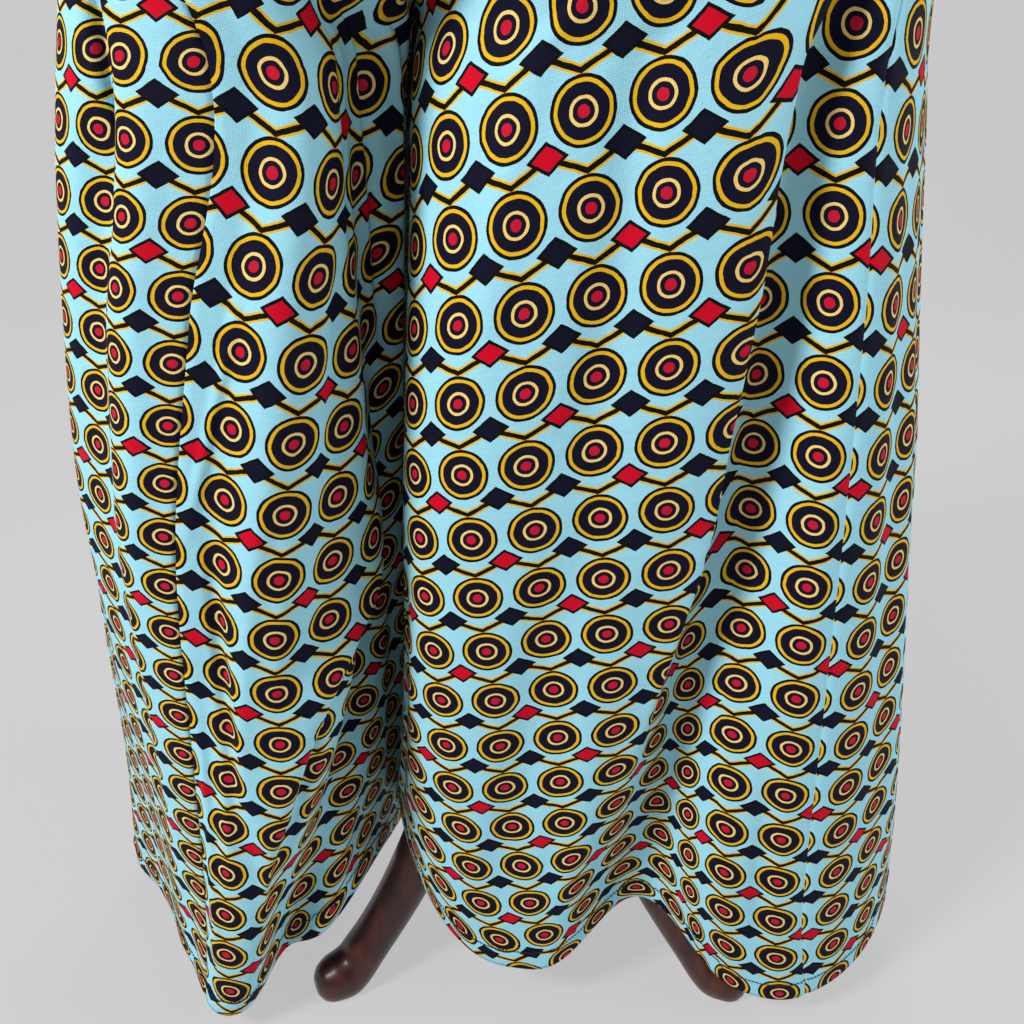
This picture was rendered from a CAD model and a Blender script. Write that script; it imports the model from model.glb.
import math

import bmesh
import bpy
from mathutils import Matrix, Vector


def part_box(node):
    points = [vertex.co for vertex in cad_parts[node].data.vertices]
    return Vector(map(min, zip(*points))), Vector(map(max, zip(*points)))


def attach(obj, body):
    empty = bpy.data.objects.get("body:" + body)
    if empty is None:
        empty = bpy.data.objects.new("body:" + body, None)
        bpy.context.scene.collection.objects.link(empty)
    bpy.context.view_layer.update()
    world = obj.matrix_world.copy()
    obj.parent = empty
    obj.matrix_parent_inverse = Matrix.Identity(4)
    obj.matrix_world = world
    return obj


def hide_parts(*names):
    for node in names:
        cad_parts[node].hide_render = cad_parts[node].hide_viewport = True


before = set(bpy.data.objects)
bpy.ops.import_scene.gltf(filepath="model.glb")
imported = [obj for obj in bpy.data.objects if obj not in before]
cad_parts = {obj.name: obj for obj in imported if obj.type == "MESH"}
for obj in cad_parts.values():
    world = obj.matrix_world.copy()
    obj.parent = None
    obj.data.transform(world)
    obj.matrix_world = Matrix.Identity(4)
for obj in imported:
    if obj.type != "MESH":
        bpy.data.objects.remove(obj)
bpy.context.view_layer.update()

scene = bpy.context.scene
mm = 0.001

poleLow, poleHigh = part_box("stand_pole")
axis = Vector(((poleLow[0] + poleHigh[0]) / 2, (poleLow[1] + poleHigh[1]) / 2, 0))


# camera, lights and floor

cameraSizes = {
    "aside": -0.017,      # from the pole's axis
    "inFront": 0.705,
    "height": 0.79,
    "pitch": 27.2,        # degrees below level
    "focal": 1000,        # in pixels of the picture
    "picture": 1024,
    "sensor": 36,
}


def makeCamera():
    size = cameraSizes
    data = bpy.data.cameras.new("camera")
    data.sensor_width = size["sensor"]
    data.lens = size["sensor"] * size["focal"] / size["picture"]
    data.clip_start = 0.01
    camera = bpy.data.objects.new("camera", data)
    camera.location = (axis.x + size["aside"], axis.y - size["inFront"], size["height"])
    camera.rotation_euler = (math.radians(90 - size["pitch"]), 0, 0)
    scene.collection.objects.link(camera)
    scene.camera = camera


def areaLight(name, place, target, width, power):
    data = bpy.data.lights.new(name, "AREA")
    data.shape = "DISK"
    data.size = width
    data.energy = power
    lamp = bpy.data.objects.new(name, data)
    lamp.location = place
    lamp.rotation_euler = (Vector(target) - Vector(place)).to_track_quat("-Z", "Y").to_euler()
    scene.collection.objects.link(lamp)


def makeWorld():
    world = bpy.data.worlds.new("studio")
    world.use_nodes = True
    background = world.node_tree.nodes["Background"]
    background.inputs["Color"].default_value = (0.8, 0.8, 0.8, 1)
    background.inputs["Strength"].default_value = 0.27
    scene.world = world
    scene.view_settings.view_transform = "Standard"


makeCamera()
makeWorld()
areaLight("key", (-1.9, -1.5, 2.6), (0, 0, 0.5), 0.75, 92)
areaLight("fill", (2.2, -0.4, 1.3), (0, 0, 0.5), 1.0, 22)
areaLight("back", (0.6, 2.4, 2.4), (0, 0, 0.8), 1.8, 34)
print("camera and lights set")


# finishes

class Wire:
    # a socket on which Python's own operators put maths nodes
    def __init__(self, finish, socket):
        self.finish = finish
        self.socket = socket

    def __add__(self, other):
        return self.finish.maths("ADD", self, other)

    def __sub__(self, other):
        return self.finish.maths("SUBTRACT", self, other)

    def __rsub__(self, other):
        return self.finish.maths("SUBTRACT", other, self)

    def __mul__(self, other):
        return self.finish.maths("MULTIPLY", self, other)

    def __truediv__(self, other):
        return self.finish.maths("DIVIDE", self, other)

    def __rtruediv__(self, other):
        return self.finish.maths("DIVIDE", other, self)

    def __pow__(self, other):
        return self.finish.maths("POWER", self, other)

    def __abs__(self):
        return self.finish.maths("ABSOLUTE", self)

    def __lt__(self, other):
        return self.finish.maths("LESS_THAN", self, other)

    def __gt__(self, other):
        return self.finish.maths("GREATER_THAN", self, other)

    __radd__ = __add__
    __rmul__ = __mul__


class Finish:
    # a material, its shader's even values, and the nodes that vary them
    def __init__(self, name, surface):
        self.material = bpy.data.materials.new(name)
        self.material.use_nodes = True
        self.tree = self.material.node_tree
        self.shader = self.tree.nodes["Principled BSDF"]
        for socket, value in surface.items():
            self.shader.inputs[socket].default_value = value

    def node(self, kind, settings=None, inputs=None):
        made = self.tree.nodes.new(kind)
        for key, value in (settings or {}).items():
            if key == "stops":
                self.setStops(made.color_ramp, value)
            else:
                setattr(made, key, value)
        for key, value in (inputs or {}).items():
            if isinstance(value, Wire):
                self.tree.links.new(value.socket, made.inputs[key])
            else:
                made.inputs[key].default_value = value
        return made

    def setStops(self, ramp, stops):
        while len(ramp.elements) < len(stops):
            ramp.elements.new(0.5)
        for element, (place, colour) in zip(ramp.elements, stops):
            element.position = place
            element.color = colour

    def maths(self, operation, *values):
        made = self.node("ShaderNodeMath", {"operation": operation}, dict(enumerate(values)))
        return Wire(self, made.outputs[0])

    def paint(self, share, under, over, way="MIX"):
        made = self.node("ShaderNodeMix", {"data_type": "RGBA", "blend_type": way},
                         {0: share, 6: under, 7: over})
        return Wire(self, made.outputs[2])

    def vector(self, x, y, z=0.0):
        return Wire(self, self.node("ShaderNodeCombineXYZ", None, {0: x, 1: y, 2: z}).outputs[0])

    def noise(self, place, scale, detail=2.0, rough=0.5):
        inputs = {"Vector": place, "Scale": scale, "Detail": detail, "Roughness": rough}
        return Wire(self, self.node("ShaderNodeTexNoise", None, inputs).outputs["Fac"])

    def feed(self, socket, wire):
        self.tree.links.new(wire.socket, self.shader.inputs[socket])

    def bump(self, height, depth, strength=1.0, under=None):
        inputs = {"Height": height, "Distance": depth, "Strength": strength}
        if under is not None:
            inputs["Normal"] = under
        return Wire(self, self.node("ShaderNodeBump", None, inputs).outputs[0])


def screen(red, green, blue):
    # a screen colour from 0 to 255, as the shader's own
    def one(value):
        share = value / 255
        return share / 12.92 if share <= 0.04045 else ((share + 0.055) / 1.055) ** 2.4
    return (one(red), one(green), one(blue), 1)


printSizes = {
    "repeatAcross": 0.0860,   # two columns of discs, metres
    "columnStep": 0.0430,
    "rowStep": 0.0500,
    "disc": 0.0142,           # radius of the navy disc
    "ring": 0.0163,           # and of the yellow ring round it
    "rim": 0.0183,            # and of the black line round that
    "innerRing": 0.0070,      # cream ring inside the disc
    "innerRingHalf": 0.0009,
    "heart": 0.0034,          # red dot in the middle
    "diamondWide": 0.0090,
    "diamondTall": 0.0068,
    "zigzagRise": 0.0050,
    "zigzagHalf": 0.0017,
    "zigzagEdge": 0.0031,
    "diamondEdge": 1.35,      # black edge of a diamond, as a share of its size
    "redEvery": 3,            # one diamond in so many is red
}
printColours = {
    "blue": screen(164, 227, 245),
    "navy": screen(14, 15, 38),
    "black": screen(9, 10, 12),
    "yellow": screen(243, 189, 26),
    "cream": screen(252, 214, 122),
    "red": screen(212, 5, 38),
    "heart": screen(204, 22, 50),
}


def drawPrint(finish, across, along):
    # straight rows of ringed discs, with a zigzag and small diamonds between the rows
    size = printSizes
    colour = printColours
    x = across / size["columnStep"]
    y = along / size["rowStep"]

    def wrap(value):
        return value - finish.maths("ROUND", value)

    besideDisc = wrap(x) * size["columnStep"]
    aboveDisc = wrap(y) * size["rowStep"]
    fromDisc = (besideDisc * besideDisc + aboveDisc * aboveDisc) ** 0.5
    besideGap = wrap(x + 0.5) * size["columnStep"]
    aboveGap = wrap(y + 0.5) * size["rowStep"]

    crest = (abs(wrap(x)) * 4 - 1) * size["zigzagRise"]
    fromZigzag = abs(aboveGap - crest)
    made = finish.paint(fromZigzag < size["zigzagEdge"], colour["blue"], colour["yellow"])
    made = finish.paint(fromZigzag < size["zigzagHalf"], made, colour["black"])

    sunk = aboveGap - size["zigzagRise"]
    diamond = abs(besideGap) / size["diamondWide"] + abs(sunk) / size["diamondTall"]
    made = finish.paint(diamond < size["diamondEdge"], made, colour["black"])
    field = (finish.maths("FLOOR", x) + finish.maths("FLOOR", y)) / size["redEvery"]
    chosen = abs(field - finish.maths("ROUND", field)) < 0.5 / size["redEvery"]
    made = finish.paint(diamond < 1.0, made, colour["navy"])
    made = finish.paint((diamond < 1.0) * chosen, made, colour["red"])

    made = finish.paint(fromDisc < size["rim"], made, colour["black"])
    made = finish.paint(fromDisc < size["ring"], made, colour["yellow"])
    made = finish.paint(fromDisc < size["disc"], made, colour["navy"])
    made = finish.paint(abs(fromDisc - size["innerRing"]) < size["innerRingHalf"], made, colour["cream"])
    return finish.paint(fromDisc < size["heart"], made, colour["heart"])


def printedCotton(name, fade):
    # the right side, or with some fade the paler wrong side
    surface = {"Roughness": 0.72, "Specular IOR Level": 0.1}
    finish = Finish(name, surface)
    uv = finish.node("ShaderNodeUVMap", {"uv_map": "cloth"})
    parts = finish.node("ShaderNodeSeparateXYZ", None, {0: Wire(finish, uv.outputs[0])})
    across = Wire(finish, parts.outputs[0])
    along = Wire(finish, parts.outputs[1])
    flat = Wire(finish, uv.outputs[0])
    shake = 0.0013           # the hand-cut edge of the print, metres
    printed = drawPrint(
        finish,
        across + (finish.noise(flat, 130.0) - 0.5) * shake,
        along + (finish.noise(finish.vector(along, across), 120.0) - 0.5) * shake,
    )
    threads = finish.noise(finish.vector(across * 900, along * 2600), 1.0, 1.0)
    slubs = finish.noise(finish.vector(across * 60, along * 500), 1.0, 3.0)
    tone = threads * 0.10 + slubs * 0.14 + 0.87
    toned = finish.paint(1.0, printed, finish.vector(tone, tone, tone), "MULTIPLY")
    finish.feed("Base Color", finish.paint(fade, toned, screen(206, 214, 214)) if fade else toned)
    weave = finish.maths("SINE", across * 5200) + finish.maths("SINE", along * 5200)
    crinkle = finish.noise(flat, 42.0, 4.0, 0.55)
    soft = finish.bump(crinkle, 0.0022, 0.5)
    finish.feed("Normal", finish.bump(weave + threads * 2, 0.00007, 0.5, soft))
    return finish.material


def jerseyCover():
    finish = Finish("form jersey", {"Roughness": 0.9, "Sheen Weight": 0.25})
    place = finish.node("ShaderNodeTexCoord")
    parts = finish.node("ShaderNodeSeparateXYZ", None, {0: Wire(finish, place.outputs["Object"])})
    x, y, z = [Wire(finish, socket) for socket in parts.outputs]
    ribs = finish.maths("SINE", finish.maths("ARCTAN2", y - axis.y, x - axis.x) * 420)
    courses = finish.maths("SINE", z * 4200)
    cloud = finish.noise(Wire(finish, place.outputs["Object"]), 9.0, 4.0)
    colour = finish.paint(cloud, screen(226, 219, 205), screen(212, 204, 188))
    finish.feed("Base Color", colour)
    finish.feed("Normal", finish.bump(ribs + courses * 0.6, 0.00012, 0.6))
    return finish.material


def polishedWood():
    surface = {"Roughness": 0.36, "Coat Weight": 0.22, "Coat Roughness": 0.22, "Specular IOR Level": 0.4}
    finish = Finish("mahogany", surface)
    place = Wire(finish, finish.node("ShaderNodeTexCoord").outputs["Object"])
    stretched = finish.node("ShaderNodeMapping", None, {"Vector": place, "Scale": (26.0, 26.0, 5.0)})
    grainPlace = Wire(finish, stretched.outputs[0])
    grain = finish.noise(grainPlace, 3.0, 6.0, 0.62)
    pores = finish.noise(grainPlace, 34.0, 2.0)
    stops = [(0.30, screen(38, 13, 9)), (0.55, screen(68, 27, 18)), (0.75, screen(98, 43, 28))]
    ramp = finish.node("ShaderNodeValToRGB", {"stops": stops}, {"Fac": grain})
    finish.feed("Base Color", Wire(finish, ramp.outputs[0]))
    finish.feed("Roughness", grain * 0.22 + 0.27)
    finish.feed("Normal", finish.bump(grain + pores * 0.3, 0.0006, 0.35))
    return finish.material


def plainFinish(name, colour, roughness, glow=0.0):
    surface = {"Roughness": roughness, "Emission Color": (1, 1, 1, 1), "Emission Strength": glow}
    finish = Finish(name, surface)
    place = Wire(finish, finish.node("ShaderNodeTexCoord").outputs["Object"])
    speck = finish.noise(place, 700.0, 2.0)
    red, green, blue, alpha = colour
    finish.feed("Base Color", finish.paint(speck, colour, (red * 0.94, green * 0.94, blue * 0.94, alpha)))
    return finish.material


cotton = printedCotton("wax print cotton", 0)
wrongSide = printedCotton("wax print cotton wrong side", 0.30)
jersey = jerseyCover()
wood = polishedWood()
thread = plainFinish("sewing thread", screen(38, 38, 52), 0.8)
paper = plainFinish("studio paper", (0.13, 0.13, 0.13, 1), 0.95, 0.48)
print("finishes made")


# making pieces

def mix(low, high, share):
    return low + (high - low) * share


def clamp(value, low, high):
    return min(max(value, low), high)


def smooth(share):
    s = clamp(share, 0, 1)
    return s * s * (3 - 2 * s)


def bump(distance, reach):
    # raised cosine: 1 in the middle, 0 beyond the reach
    return 0.5 + 0.5 * math.cos(math.pi * distance / reach) if abs(distance) < reach else 0


def slopeAt(heights, values, row):
    before = max(row - 1, 0)
    after = min(row + 1, len(heights) - 1)
    return (values[after] - values[before]) / (heights[after] - heights[before])


def curveAt(heights, values, height):
    # a smooth curve through a table's values
    level = clamp(height, heights[0], heights[-1])
    row = 0
    while row < len(heights) - 2 and heights[row + 1] < level:
        row += 1
    span = heights[row + 1] - heights[row]
    s = (level - heights[row]) / span
    startPull = slopeAt(heights, values, row) * span * s * (1 - s) * (1 - s)
    endPull = slopeAt(heights, values, row + 1) * span * s * s * (s - 1)
    return mix(values[row], values[row + 1], smooth(s)) + startPull + endPull


def column(table, name, height):
    return curveAt([row["height"] for row in table], [row[name] for row in table], height)


def finishMesh(bm, name, materials, smoothShade=True):
    for face in bm.faces:
        face.smooth = smoothShade
    mesh = bpy.data.meshes.new(name)
    bm.to_mesh(mesh)
    bm.free()
    for material in materials:
        mesh.materials.append(material)
    piece = bpy.data.objects.new(name, mesh)
    scene.collection.objects.link(piece)
    return piece


def thicken(piece, wall, insideMaterial=0):
    solid = piece.modifiers.new("wall", "SOLIDIFY")
    solid.thickness = wall
    solid.offset = -1
    solid.use_even_offset = False
    solid.material_offset = insideMaterial
    solid.material_offset_rim = 0


# the trouser legs, in millimetres round the pole's axis

heights = {"hem": 50, "crotch": 760, "rise": 110, "waist": 1020, "hemReach": 350}

centreLine = [
    {"height": 50, "centre": -122, "gap": 10},
    {"height": 120, "centre": -118, "gap": 10},
    {"height": 290, "centre": -107, "gap": 9},
    {"height": 470, "centre": -97, "gap": 8},
    {"height": 650, "centre": -85, "gap": 5},
    {"height": 760, "centre": -79, "gap": 0.6},
    {"height": 880, "centre": -50, "gap": 0.3},
    {"height": 1020, "centre": 0, "gap": 0.3},
]


def sectionRows(*rows):
    names = ("height", "outer", "front", "back", "inside", "outside", "inseam", "side")
    return [dict(zip(names, row)) for row in rows]


def foldRows(*rows):
    # places go round a leg in panel widths: 0 inseam, 1 side seam, 2 inseam again
    names = ("hem", "knee", "crotch", "waist", "riseHem", "riseKnee", "riseCrotch", "riseWaist",
             "reachHem", "reachTop")
    return [dict(zip(names, row)) for row in rows]


rightLeg = {
    "side": -1,
    "sections": sectionRows(
        (50, -363, -131, 214, 3.0, 1.75, -50, 104),
        (140, -357, -134, 210, 3.2, 1.8, -46, 103),
        (300, -351, -138, 200, 3.3, 1.9, -36, 100),
        (470, -342, -140, 184, 3.2, 2, -22, 97),
        (620, -321, -138, 164, 2.8, 2, -9, 90),
        (760, -294, -136, 142, 2.2, 2, 0, 84),
        (870, -268, -138, 142, 2, 2, 0, 127),
        (955, -215, -124, 126, 2, 2, 0, 145),
        (1020, -129, -95, 95, 2, 2, 0, 165),
    ),
    "folds": foldRows(
        (0.945, 0.765, 0.726, 0.7, 20, 17, 11, 0, 0.13, 0.17),
        (0.81, 0.39, 0.45, 0.42, -24, -21, -11, 0, 0.13, 0.17),
        (0.5, 0.24, 0.22, 0.22, 0, 3, 7, 0, 0.14, 0.13),
        (1.17, 1.16, 1.15, 1.15, -6, -8, -15, 0, 0.1, 0.05),
        (1.36, 1.37, 1.38, 1.38, 28, 20, 7, 0, 0.13, 0.12),
        (1.53, 1.55, 1.57, 1.57, -32, -24, -9, 0, 0.12, 0.1),
        (1.71, 1.73, 1.75, 1.75, 24, 16, 6, 0, 0.12, 0.1),
    ),
    "hem": [(0.55, 66, 0.34), (0.945, -22, 0.2), (1.38, -14, 0.2)],   # place, lift and reach
}

leftLeg = {
    "side": 1,
    "sections": sectionRows(
        (50, 341, -125, 122, 3.0, 2, -5, 120),
        (140, 333, -127, 124, 3.4, 2, -4, 117),
        (300, 312, -130, 130, 3.8, 2, -3, 118),
        (470, 287, -133, 136, 3.8, 2, -2, 121),
        (620, 263, -135, 140, 3.2, 2, -1, 125),
        (760, 243, -136, 142, 2.3, 2, 0, 129),
        (870, 231, -138, 142, 2, 2, 0, 142),
        (955, 190, -124, 126, 2, 2, 0, 150),
        (1020, 129, -95, 95, 2, 2, 0, 160),
    ),
    "folds": foldRows(
        (0.372, 0.362, 0.355, 0.318, 4, 11, 9, 0, 0.31, 0.33),
        (0.715, 0.845, 0.89, 0.85, -28, -28, -17, 0, 0.15, 0.11),
        (0.996, 1.011, 1.011, 0.954, 25, 17, 8, 0, 0.2, 0.12),
        (1.312, 1.326, 1.324, 1.31, -16, -12, -6, 0, 0.13, 0.1),
        (1.489, 1.497, 1.493, 1.483, 17, 12, 6, 0, 0.13, 0.12),
        (1.666, 1.668, 1.662, 1.655, -14, -11, -6, 0, 0.12, 0.1),
    ),
    "hem": [
        (0.175, 128, 0.33), (0.715, 60, 0.175), (0.96, -20, 0.2), (1.489, -12, 0.2), (1.753, 130, 0.18),
    ],
}

gatherSizes = {
    "heights": [840, 915, 985, 1020],
    "large": [0, 2.5, 5, 1.5],
    "largeCount": 6,      # a panel
    "small": [0, 0.5, 1.5, 1.0],
    "smallCount": 17,
}

# soft creases: place and height at each end, depth above or below the cloth, and half width
rightCreases = [
    (0.42, 800, 0.30, 560, -4.0, 15),
    (0.33, 800, 0.22, 620, 3.0, 13),
    (0.62, 700, 0.70, 380, 2.5, 18),
    (0.72, 540, 0.86, 240, -3.0, 20),
    (0.55, 790, 0.53, 640, -2.5, 15),
    (0.90, 470, 0.87, 130, -6.0, 17),
    (0.97, 330, 0.95, 90, 4.0, 12),
    (0.38, 400, 0.60, 60, -14.0, 82),
    (0.30, 420, 0.42, 110, -5.0, 30),
    (0.16, 500, 0.30, 150, 4.0, 22),
    (0.66, 330, 0.78, 150, 3.0, 13),
    (0.86, 640, 0.97, 480, 2.0, 14),
    (1.08, 760, 1.05, 420, 4.0, 18),
    (1.13, 620, 1.10, 160, -5.0, 20),
    (1.24, 800, 1.26, 380, 4.0, 26),
    (1.30, 520, 1.33, 120, -5.0, 22),
    (1.44, 780, 1.46, 240, -4.0, 26),
    (1.50, 460, 1.49, 90, 5.0, 20),
    (1.62, 820, 1.64, 330, 4.5, 24),
    (1.80, 760, 1.84, 260, -4.5, 24),
    (1.92, 620, 1.90, 160, 3.5, 18),
    (1.38, 900, 1.41, 700, 3.0, 16),
    (1.70, 900, 1.66, 700, -3.0, 18),
]
leftCreases = [
    (0.71, 790, 0.655, 370, 6.0, 42),
    (0.47, 800, 0.42, 590, 2.5, 22),
    (0.62, 800, 0.57, 520, -3.0, 26),
    (0.73, 760, 0.69, 480, 3.0, 18),
    (0.17, 720, 0.13, 340, -3.5, 20),
    (0.30, 450, 0.25, 120, -4.0, 26),
    (0.10, 330, 0.22, 110, 4.0, 20),
    (0.56, 470, 0.50, 110, -4.5, 28),
    (0.63, 400, 0.60, 90, 5.0, 20),
    (0.85, 430, 0.85, 100, 8.0, 25),
    (0.775, 430, 0.76, 90, -6.0, 22),
    (0.92, 340, 0.93, 90, -4.0, 16),
    (0.93, 800, 0.92, 560, -2.5, 14),
    (0.97, 560, 0.96, 260, 2.0, 12),
    (1.06, 760, 1.07, 330, -3.5, 17),
    (1.12, 620, 1.13, 110, 4.5, 20),
    (1.20, 800, 1.22, 420, 4.0, 24),
    (1.26, 520, 1.25, 100, -4.5, 22),
    (1.40, 840, 1.42, 350, -4.0, 26),
    (1.44, 430, 1.43, 90, 4.5, 20),
    (1.58, 820, 1.57, 240, 4.5, 26),
    (1.72, 760, 1.74, 240, 4.0, 22),
    (1.84, 640, 1.86, 200, -4.5, 24),
    (1.93, 560, 1.92, 240, 3.0, 16),
    (1.34, 910, 1.36, 720, 3.0, 18),
    (1.64, 900, 1.62, 720, -3.0, 18),
]

# where a fold's lip laps over its trough: heights, places along it, shift sideways and reach in places
rightLips = [
    (
        (50, 180, 250, 300, 340, 380, 420, 460, 510, 570),
        (0.90, 0.865, 0.815, 0.785, 0.74, 0.66, 0.55, 0.485, 0.41, 0.37),
        (-4, -11, -17, -22, -25, -26, -26, -24, -18, 0), 0.07,
    ),
    ((620, 690, 735, 790), (1.125, 1.14, 1.175, 1.185), (0, -9, -12, -12), 0.03),
]
leftLips = [
    (
        (90, 230, 320, 380, 470, 550, 610, 690, 760, 840),
        (0.65, 0.66, 0.67, 0.685, 0.716, 0.725, 0.733, 0.75, 0.765, 0.775),
        (0, 8, 16, 21, 25, 27, 29, 29, 28, 20), 0.07,
    ),
]

clothSizes = {
    "across": 132,
    "along": 230,
    "wall": 1.2,
    "seamReach": 5,       # how far from a seam its dip is felt
    "seamDip": 1.1,
    "hemFold": 20,        # the turned-up hem
    "hemStep": 0.7,
    "pucker": 0.25,
    "placeWidth": 480,    # one panel width, for the slope of a crease
}


def around(place, start):
    turn = place - start
    return turn - 2 * round(turn / 2)


def legRow(leg, height):
    # what all the points of a leg at one height share
    centre = column(centreLine, "centre", height)
    gap = max(column(centreLine, "gap", height), 0.3)
    outer, front, back = [column(leg["sections"], name, height) for name in ("outer", "front", "back")]
    merge = clamp((height - heights["crotch"]) / heights["rise"], 0, 1) ** 3
    inner = centre + leg["side"] * gap / 2
    width = abs(outer - inner)
    above = height > heights["crotch"]
    inseam = column(leg["sections"], "inseam", height)
    start = math.degrees(math.acos((1 - merge) / (1 + merge))) if above else inseam
    knots = [heights["hem"], 470, heights["crotch"], 1000]
    nearHem = smooth((height - heights["hem"]) / 700)
    folds = []
    for fold in leg["folds"]:
        middle = curveAt(knots, [fold[name] for name in ("hem", "knee", "crotch", "waist")], height)
        rises = [fold[name] for name in ("riseHem", "riseKnee", "riseCrotch", "riseWaist")]
        rise = curveAt(knots, rises, height)
        folds.append((middle, rise, mix(fold["reachHem"], fold["reachTop"], nearHem)))
    return {
        "height": height,
        "inner": inner,
        "middleX": inner + leg["side"] * width * (1 - merge) / 2,
        "middleY": (front + back) / 2,
        "halfWidth": width * (1 + merge) / 2,
        "halfDepth": (back - front) / 2,
        "inside": column(leg["sections"], "inside", height),
        "outside": column(leg["sections"], "outside", height),
        "start": start,
        "side": column(leg["sections"], "side", height),
        "end": 360 - start if above else 360 + start,
        "folds": folds,
        "nearCrotch": smooth((height - heights["crotch"] + 120) / 120),
        "large": curveAt(gatherSizes["heights"], gatherSizes["large"], height),
        "small": curveAt(gatherSizes["heights"], gatherSizes["small"], height),
        "fade": clamp(1 - (height - heights["hem"]) / heights["hemReach"], 0, 1) ** 2,
    }


def sectionPoint(leg, row, place):
    if place < 1:
        angle = math.radians(mix(row["start"], row["side"], place))
    else:
        angle = math.radians(mix(row["side"], row["end"], place - 1))
    cos = math.cos(angle)
    sin = math.sin(angle)
    power = row["inside"] if cos > 0 else row["outside"]
    swell = (abs(cos) ** power + abs(sin) ** power) ** (-1 / power)
    x = row["middleX"] - leg["side"] * row["halfWidth"] * cos * swell
    return x, row["middleY"] - row["halfDepth"] * sin * swell


def creaseRise(creaseList, place, height):
    rise = 0
    for fromPlace, fromHeight, toPlace, toHeight, depth, reach in creaseList:
        spanX = (toPlace - fromPlace) * clothSizes["placeWidth"]
        spanZ = toHeight - fromHeight
        x = around(place, fromPlace) * clothSizes["placeWidth"]
        z = height - fromHeight
        share = (x * spanX + z * spanZ) / (spanX * spanX + spanZ * spanZ)
        if -0.1 < share < 1.1:
            away = abs(x * spanZ - z * spanX) / math.hypot(spanX, spanZ)
            if away < reach:
                ends = smooth((share + 0.1) / 0.35) * smooth((1.1 - share) / 0.35)
                rise += depth * bump(away, reach) * ends
    return rise


def lipShift(lips, place, height):
    shift = 0
    for knots, places, shifts, reach in lips:
        away = around(place, curveAt(knots, places, height))
        if abs(away) < reach and height > knots[0] - 40:
            shift += curveAt(knots, shifts, height) * bump(away, reach)
    return shift


def legPoint(leg, row, place):
    step = 0.004
    x, y = sectionPoint(leg, row, place)
    aheadX, aheadY = sectionPoint(leg, row, place + step)
    behindX, behindY = sectionPoint(leg, row, place - step)
    alongX, alongY = aheadX - behindX, aheadY - behindY
    length = math.hypot(alongX, alongY)
    rise = sum(depth * bump(around(place, middle), reach) for middle, depth, reach in row["folds"])
    rise *= mix(1, smooth(abs(around(place, 0)) / 0.14), row["nearCrotch"])
    rise += row["large"] * math.cos(2 * math.pi * gatherSizes["largeCount"] * place)
    rise += row["small"] * math.cos(2 * math.pi * gatherSizes["smallCount"] * place)
    rise += creaseRise(leg["creases"], place, row["height"])
    shift = lipShift(leg["lips"], place, row["height"])
    x += leg["side"] * alongY / length * rise + alongX / length * shift
    y += alongY / length * shift - leg["side"] * alongX / length * rise
    x = row["inner"] + leg["side"] * max(leg["side"] * (x - row["inner"]), 0)
    lift = sum(up * bump(around(place, middle), reach) for middle, up, reach in leg["hem"])
    return Vector((x, y, row["height"] + lift * row["fade"]))


def layCloth(bm, uvAt):
    # the cloth's own flat coordinates, in metres
    layer = bm.loops.layers.uv.new("cloth")
    for face in bm.faces:
        for loop in face.loops:
            loop[layer].uv = uvAt(loop.vert)


def gridSteps(bm, across, along):
    # the step and row that each point of a new grid stands for
    steps = bm.verts.layers.int.new("step")
    rows = bm.verts.layers.int.new("row")
    for vert in bm.verts:
        vert[steps] = round((vert.co.x + 0.5) * across)
        vert[rows] = round((vert.co.y + 0.5) * along)
    return steps, rows


def clothPanel(name, points, uvAt, wall, facing):
    # a thin panel of printed cloth through rows of points, facing outward
    along, across = len(points) - 1, len(points[0]) - 1
    bm = bmesh.new()
    bmesh.ops.create_grid(bm, x_segments=across, y_segments=along, size=0.5)
    steps, rows = gridSteps(bm, across, along)
    for vert in bm.verts:
        vert.co = axis + points[vert[rows]][vert[steps]] * mm
    layCloth(bm, lambda vert: uvAt(vert[rows], vert[steps]))
    bm.normal_update()
    middle = min(bm.faces, key=lambda face: (face.calc_center_median() - facing * 3).length)
    if middle.normal.dot(facing) < 0:
        bmesh.ops.reverse_faces(bm, faces=bm.faces)
    piece = finishMesh(bm, name, [cotton, wrongSide])
    thicken(piece, wall * mm, 1)
    return piece


def runningLengths(points):
    # how far along its row each point is
    lengths = []
    for line in points:
        soFar = [0]
        for step in range(len(line) - 1):
            soFar.append(soFar[-1] + (line[step + 1] - line[step]).length)
        lengths.append(soFar)
    return lengths


rightLeg.update({"creases": rightCreases, "lips": rightLips})
leftLeg.update({"creases": leftCreases, "lips": leftLips})

# how the print lies on each panel, in millimetres: the place it starts from, from the side seam and up,
# how rows rise across the panel, and how columns shift, each as distances from the seam and values
panelPrints = {
    "right_front_leg": {
        "start": (76, 746), "rise": ((0, 76, 300, 520), (16, 0, -8, -62)),
        "shift": ((0, 400), (0, 0)), "stretch": 1.0,
        "grain": 60,
    },
    "right_back_leg": {
        "start": (-8, 760), "rise": ((-600, -200, 0), (14, 14, 0)),
        "shift": ((-600, 0), (0, 0)), "stretch": 1.22,
        "grain": 200,
    },
    "left_front_leg": {
        "start": (-218, 733), "rise": ((-420, -218, -110, -75, 0), (-52, 0, 22, 45, 45)),
        "shift": ((-420, -130, -90, 0), (0, 0, 20, 20)), "stretch": 1.0, "grain": 60,
        # in front of the great fold, by height
        "lean": ((50, 330, 390, 440, 530, 760), (0, 2, 8, 16, 25, 26)),
    },
    "left_back_leg": {
        "start": (30, 623), "rise": ((0, 300), (0, 0)), "shift": ((0, 300), (0, 0)),
        "stretch": 1.0, "grain": 200,
    },
}


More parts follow.
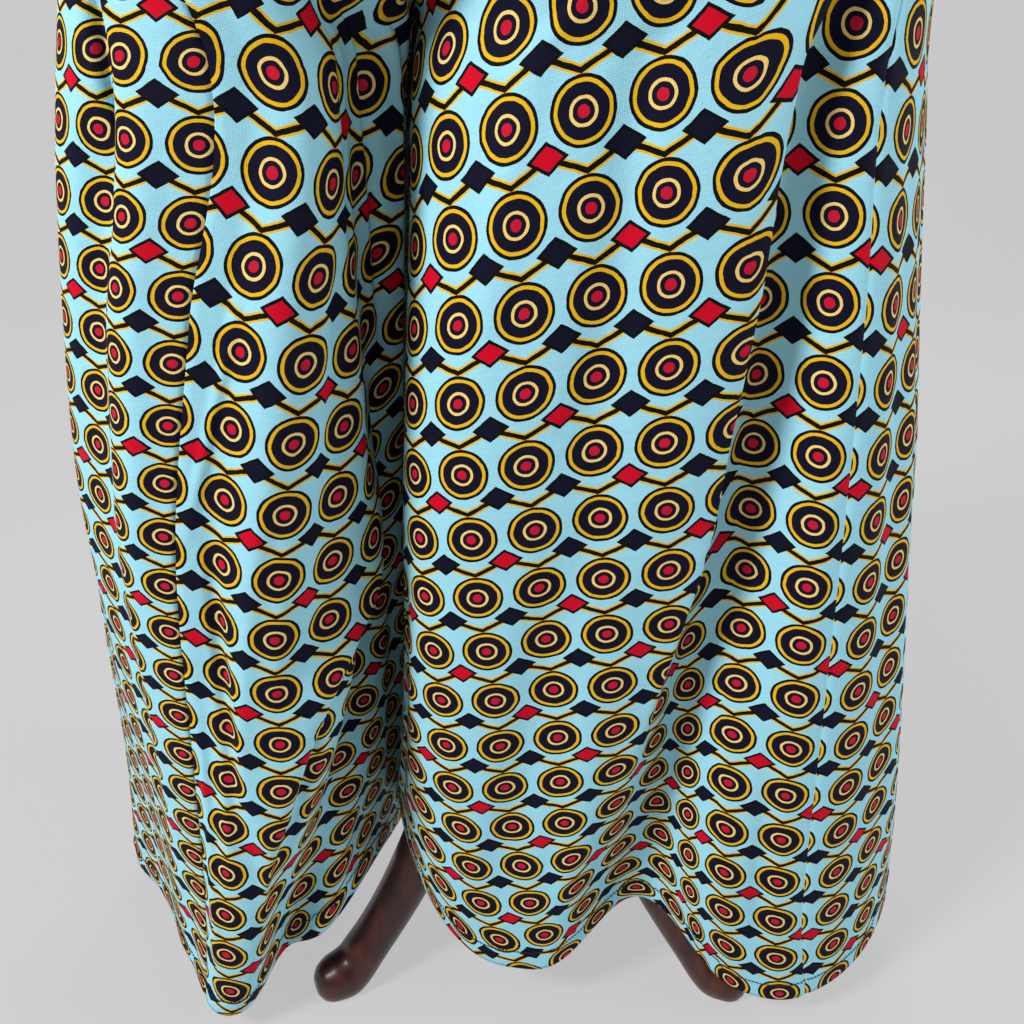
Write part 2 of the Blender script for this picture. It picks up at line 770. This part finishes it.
def straight(knots, values, at):
    # straight from one value to the next
    place = clamp(at, knots[0], knots[-1])
    row = 0
    while row < len(knots) - 2 and knots[row + 1] < place:
        row += 1
    share = (place - knots[row]) / (knots[row + 1] - knots[row])
    return mix(values[row], values[row + 1], share)


def runAlong(height):
    # cloth towards the hem hangs further from upright, so its rows look closer
    return height - 0.000225 * max(650 - height, 0) ** 2


def grainLengths(leg, rowsOfLeg, lengths, isBack, grain):
    # how far along each row the grain line starts: at the side seam, and above the crotch at one angle
    across = len(lengths[0]) - 1
    starts = []
    offset = None
    for row, soFar in zip(rowsOfLeg, lengths):
        seam = 0 if isBack else soFar[-1]
        if row["height"] <= heights["crotch"]:
            starts.append(seam)
            lastSeam, lastRow, lastLengths = seam, row, soFar
            continue

        def lengthAt(anyRow, anyLengths):
            low, high = (anyRow["side"], anyRow["end"]) if isBack else (anyRow["start"], anyRow["side"])
            step = clamp((grain - low) / (high - low), 0, 1) * across
            whole = min(int(step), across - 1)
            return mix(anyLengths[whole], anyLengths[whole + 1], step - whole)

        if offset is None:
            offset = lastSeam - lengthAt(lastRow, lastLengths)
        starts.append(lengthAt(row, soFar) + offset)
    return starts


def legPanel(name, leg, isBack):
    size = clothSizes
    printed = panelPrints[name]
    first = 1 if isBack else 0
    across, along = size["across"], size["along"]
    top = heights["waist"] - 0.3
    rowsOfLeg = [legRow(leg, mix(heights["hem"], top, row / along)) for row in range(along + 1)]
    bare = []
    for row in rowsOfLeg:
        bare.append([legPoint(leg, row, first + step / across) for step in range(across + 1)])
    lengths = runningLengths(bare)
    points = []
    for level, line in enumerate(bare):
        above = bare[min(level + 1, along)]
        below = bare[max(level - 1, 0)]
        moved = []
        for step, point in enumerate(line):
            sideways = line[min(step + 1, across)] - line[max(step - 1, 0)]
            normal = sideways.cross(above[step] - below[step]) * leg["side"]
            if normal.length > 0:
                normal.normalize()
            fromSeam = min(lengths[level][step], lengths[level][-1] - lengths[level][step])
            aboveHem = point.z - bare[0][step].z
            dip = size["seamDip"] * bump(fromSeam, size["seamReach"])
            dip -= size["hemStep"] * smooth((size["hemFold"] - aboveHem) / 3 + 0.5)
            dip += size["pucker"] * math.sin(lengths[level][step] * 0.9) * bump(aboveHem - size["hemFold"], 9)
            moved.append(point - normal * dip)
        points.append(moved)
    starts = grainLengths(leg, rowsOfLeg, lengths, isBack, printed["grain"])
    startAcross, startHeight = printed["start"]

    def uvAt(level, step):
        fromSeam = leg["side"] * (lengths[level][step] - starts[level])
        acrossCloth = fromSeam - startAcross + straight(*printed["shift"], fromSeam)
        if "lean" in printed:
            inFront = clamp((-90 - fromSeam) / 40, 0, 1)
            acrossCloth += straight(*printed["lean"], rowsOfLeg[level]["height"]) * inFront
        alongCloth = runAlong(rowsOfLeg[level]["height"]) - runAlong(startHeight)
        alongCloth = alongCloth * printed["stretch"] - straight(*printed["rise"], fromSeam)
        return (acrossCloth * mm + printSizes["repeatAcross"] / 2, alongCloth * mm)

    piece = clothPanel(name, points, uvAt, size["wall"], Vector((0, 1 if isBack else -1, 0)))
    width = max(soFar[-1] for soFar in lengths) * mm
    tall = max(sum((points[row + 1][step] - points[row][step]).length for row in range(along))
               for step in range(0, across + 1, across // 4)) * mm
    area = sum(soFar[-1] for soFar in lengths) / len(lengths) * tall * mm
    print(name, "cloth", round(width, 3), "by", round(tall, 3), "area", round(area, 3))
    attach(piece, "root")
    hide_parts(name)
    return piece, points


panels = {
    "right_front_leg": legPanel("right_front_leg", rightLeg, False),
    "right_back_leg": legPanel("right_back_leg", rightLeg, True),
    "left_front_leg": legPanel("left_front_leg", leftLeg, False),
    "left_back_leg": legPanel("left_back_leg", leftLeg, True),
}
print("trouser legs made")


# machine stitches that hold up the hems, all one piece

stitchSizes = {"above": 17.5, "pitch": 3.2, "length": 2.3, "width": 0.55, "proud": 0.35}


def hemLine(points):
    # a line of points across a panel, at one distance up from its edge
    line = []
    for step in range(len(points[0])):
        run = 0
        level = 0
        while run < stitchSizes["above"]:
            level += 1
            run += (points[level][step] - points[level - 1][step]).length
        line.append(points[level][step])
    return line


def makeStitches():
    size = stitchSizes
    bm = bmesh.new()
    for name, (piece, points) in panels.items():
        line = hemLine(points)
        side = -1 if name.startswith("right") else 1
        run = size["pitch"]
        for step in range(len(line) - 1):
            start, end = line[step], line[step + 1]
            way = end - start
            while run < way.length:
                out = way.cross(Vector((0, 0, 1))).normalized() * side
                along = way.normalized()
                spot = start + along * run + out * 0.5
                turn = Matrix((along, out, along.cross(out))).transposed().to_4x4()
                place = Matrix.Translation(axis + spot * mm) @ turn
                shape = Matrix.Diagonal((size["length"] * mm, size["proud"] * 2 * mm, size["width"] * mm, 1))
                bmesh.ops.create_cube(bm, size=1, matrix=place @ shape)
                run += size["pitch"]
            run -= way.length
    bmesh.ops.recalc_face_normals(bm, faces=bm.faces)
    stitches = finishMesh(bm, "hem_stitches", [thread], False)
    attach(stitches, "root")


makeStitches()
print("stitches made")


# the dress form and its stand

formRows = [
    (832, 118, 74), (838, 138, 92), (860, 150, 102), (900, 153, 106), (960, 141, 100), (1016, 126, 92),
    (1058, 126, 92), (1120, 136, 99), (1200, 150, 112), (1270, 158, 110), (1330, 160, 96), (1365, 143, 82),
    (1388, 120, 71), (1405, 94, 62), (1422, 67, 55), (1450, 54, 52), (1484, 51, 50), (1492, 42, 41),
]
formHeights = [height for height, width, depth in formRows]
formWidths = [width for height, width, depth in formRows]
formDepths = [depth for height, width, depth in formRows]


def formPoint(angle, height):
    width = curveAt(formHeights, formWidths, height)
    depth = curveAt(formHeights, formDepths, height)
    return Vector((width * math.cos(angle), -depth * math.sin(angle), height))


def ringPiece(name, rings, material):
    # a closed piece through rings of points, with a fan at each end
    sides, count = len(rings[0]), len(rings)
    bm = bmesh.new()
    bmesh.ops.create_grid(bm, x_segments=sides, y_segments=count - 1, size=0.5)
    steps, rows = gridSteps(bm, sides, count - 1)
    for vert in bm.verts:
        vert.co = axis + rings[vert[rows]][vert[steps] % sides] * mm
    bmesh.ops.remove_doubles(bm, verts=bm.verts, dist=1e-7)
    bmesh.ops.holes_fill(bm, edges=[edge for edge in bm.edges if edge.is_boundary], sides=0)
    bmesh.ops.recalc_face_normals(bm, faces=bm.faces)
    piece = finishMesh(bm, name, [material])
    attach(piece, "root")
    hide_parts(name)
    return piece


def makeTorso():
    rings = []
    for row in range(133):
        height = mix(832, 1492, row / 132)
        rings.append([formPoint(2 * math.pi * step / 128, height) for step in range(128)])
    torso = ringPiece("form_torso", rings, jersey)
    return torso


standAngles = {"stand_leg_right": 210, "stand_leg_left": 330, "stand_leg_back": 90}
# reach from the pole, height of its middle, half width and height, and slope
standRows = [
    (30.3, 213, 15, 24, 0), (52, 210, 18, 23, -24), (75, 190, 21, 22, -50), (95, 155, 22, 22, -62),
    (112, 121, 22, 21, -63), (130, 89, 21, 20, -59), (149, 61, 20, 19, -53), (168, 37, 20, 19, -42),
    (187, 16, 21, 23, -10), (204, 13, 20, 20, 0), (214, 12, 15, 16, 0), (219, 12, 8, 9, 0),
]


def standLeg(name, turn):
    out = Vector((math.cos(math.radians(turn)), math.sin(math.radians(turn)), 0))
    aside = Vector((-out.y, out.x, 0))
    knots = list(range(len(standRows)))
    columns = list(zip(*standRows))
    rings = []
    for row in range(111):
        at = row / 110 * (len(standRows) - 1)
        reach, rise, width, height, slope = [curveAt(knots, values, at) for values in columns]
        tilt = math.radians(slope)
        ring = []
        for step in range(48):
            angle = 2 * math.pi * (step + 0.5) / 48
            lift = height * math.sin(angle)
            # a soft ridge is carved along the back of the leg
            crest = 1.2 * bump(math.degrees(angle) - 90, 26) * smooth(at / 2) * smooth((8 - at) / 2)
            point = out * (reach - (lift + crest) * math.sin(tilt)) + aside * width * math.cos(angle)
            point.z = max(rise + (lift + crest) * math.cos(tilt), 0)
            ring.append(point)
        rings.append(ring)
    leg = ringPiece(name, rings, wood)
    return leg


def turnedPiece(name, outline, sides=64):
    rings = []
    for height, radius in outline:
        rings.append([Vector((radius * math.cos(2 * math.pi * step / sides),
                              radius * math.sin(2 * math.pi * step / sides), height)) for step in range(sides)])
    piece = ringPiece(name, rings, wood)
    return piece


makeTorso()
for name, turn in standAngles.items():
    standLeg(name, turn)
turnedPiece("stand_hub", [
    (142, 5.5), (143, 6), (148, 9), (154, 13.5), (160, 16), (168, 20), (171, 26), (174, 29), (177, 30), (206, 29.5),
    (234, 30), (237, 29), (239.5, 27), (242, 23.5),
])
turnedPiece("stand_pole", [(242.3, 14.6), (243, 15), (400, 15), (600, 15), (830.9, 15), (831.7, 14.6)])
print("form and stand made")


# waist casing and bodice

def plainPanel(name, points, offset, wall, facing):
    lengths = runningLengths(points)

    def uvAt(level, step):
        fromMiddle = lengths[level][step] - lengths[level][len(lengths[level]) // 2]
        return (fromMiddle * mm + offset[0], points[level][step].z * mm + offset[1])

    piece = clothPanel(name, points, uvAt, wall, facing)
    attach(piece, "root")
    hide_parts(name)
    return piece


casingSizes = {
    "bottom": 1020.15, "height": 34, "columns": 560, "rows": 26, "off": 2.9, "ruches": 74, "ruche": 1.3,
}


def makeCasing():
    size = casingSizes
    rows = []
    for level in range(size["rows"] + 1):
        share = level / size["rows"]
        line = []
        for step in range(size["columns"] + 1):
            angle = 2 * math.pi * (step % size["columns"]) / size["columns"]
            belly = math.sin(math.pi * share) ** 0.7
            sway = 0.5 * math.sin(3 * angle + 4 * share)
            ruche = 0.5 + 0.5 * math.cos(size["ruches"] * angle + sway)
            off = size["off"] + belly * 1.0 + size["ruche"] * ruche
            line.append(Vector(((126 + off) * math.cos(angle), -(92 + off) * math.sin(angle),
                                size["bottom"] + size["height"] * share)))
        rows.append(line)
    return plainPanel("waist_casing", rows, (0, 0), 1.4, Vector((0, -1, 0)))


casing = makeCasing()


bodiceSizes = {
    "columns": 120, "rows": 110, "off": 8.6, "underarm": 1236, "shoulder": 1372, "neckSide": 1416,
    "armhole": 30, "lowest": 1054.6,
}


def armholeAngle(height):
    share = (height - bodiceSizes["underarm"]) / (bodiceSizes["shoulder"] - bodiceSizes["underarm"])
    return bodiceSizes["armhole"] * math.sin(math.pi * share) ** 0.6 if 0 < share < 1 else 0


def bodicePoint(angle, height, facing, off):
    base = formPoint(angle, height)
    sideways = formPoint(angle - 0.02, height) - formPoint(angle + 0.02, height)
    up = formPoint(angle, height + 4) - formPoint(angle, height - 4)
    normal = up.cross(sideways).normalized()
    if normal.dot(Vector((base.x, base.y, 0))) < 0:
        normal = -normal
    point = base + normal * off
    point.y = facing * min(point.y, -0.15)
    point.z = height + max(point.z - height, 0)
    return point


def makeBodice(name, facing, neck):
    size = bodiceSizes
    rows = []
    for level in range(size["rows"] + 1):
        share = level / size["rows"]
        line = []
        for step in range(size["columns"] + 1):
            across = 2 * step / size["columns"] - 1
            inward = 1 - abs(across)
            top = mix(size["neckSide"], neck, inward ** 0.85)
            height = mix(size["lowest"], top, share)
            fromSide = mix(armholeAngle(height), 90, inward)
            angle = math.radians(fromSide if across < 0 else 180 - fromSide)
            gather = 1.6 * math.cos(2 * math.pi * 13 * across) * smooth(1 - share * 3)
            off = size["off"] + gather
            line.append(bodicePoint(angle, height, facing, off))
        rows.append(line)
    return plainPanel(name, rows, (0.02, 0.01), 1.2, Vector((0, -facing, 0)))


bodiceFront = makeBodice("bodice_front", 1, 1270)
bodiceBack = makeBodice("bodice_back", -1, 1378)
print("casing and bodice made")


# studio floor

def makeFloor():
    bm = bmesh.new()
    bmesh.ops.create_grid(bm, x_segments=2, y_segments=40, size=0.5)
    for vert in bm.verts:
        across = vert.co.x
        share = vert.co.y + 0.5
        run = share * 9 - 4
        bend = clamp((run - 2.0) / 1.5, 0, 1)
        vert.co = (across * 14, run - max(run - 2.0, 0) * 0.7 * bend, max(run - 2.0, 0) * 1.0 * bend)
    bm.normal_update()
    floor = finishMesh(bm, "studio floor", [paper])


makeFloor()
print("floor made")
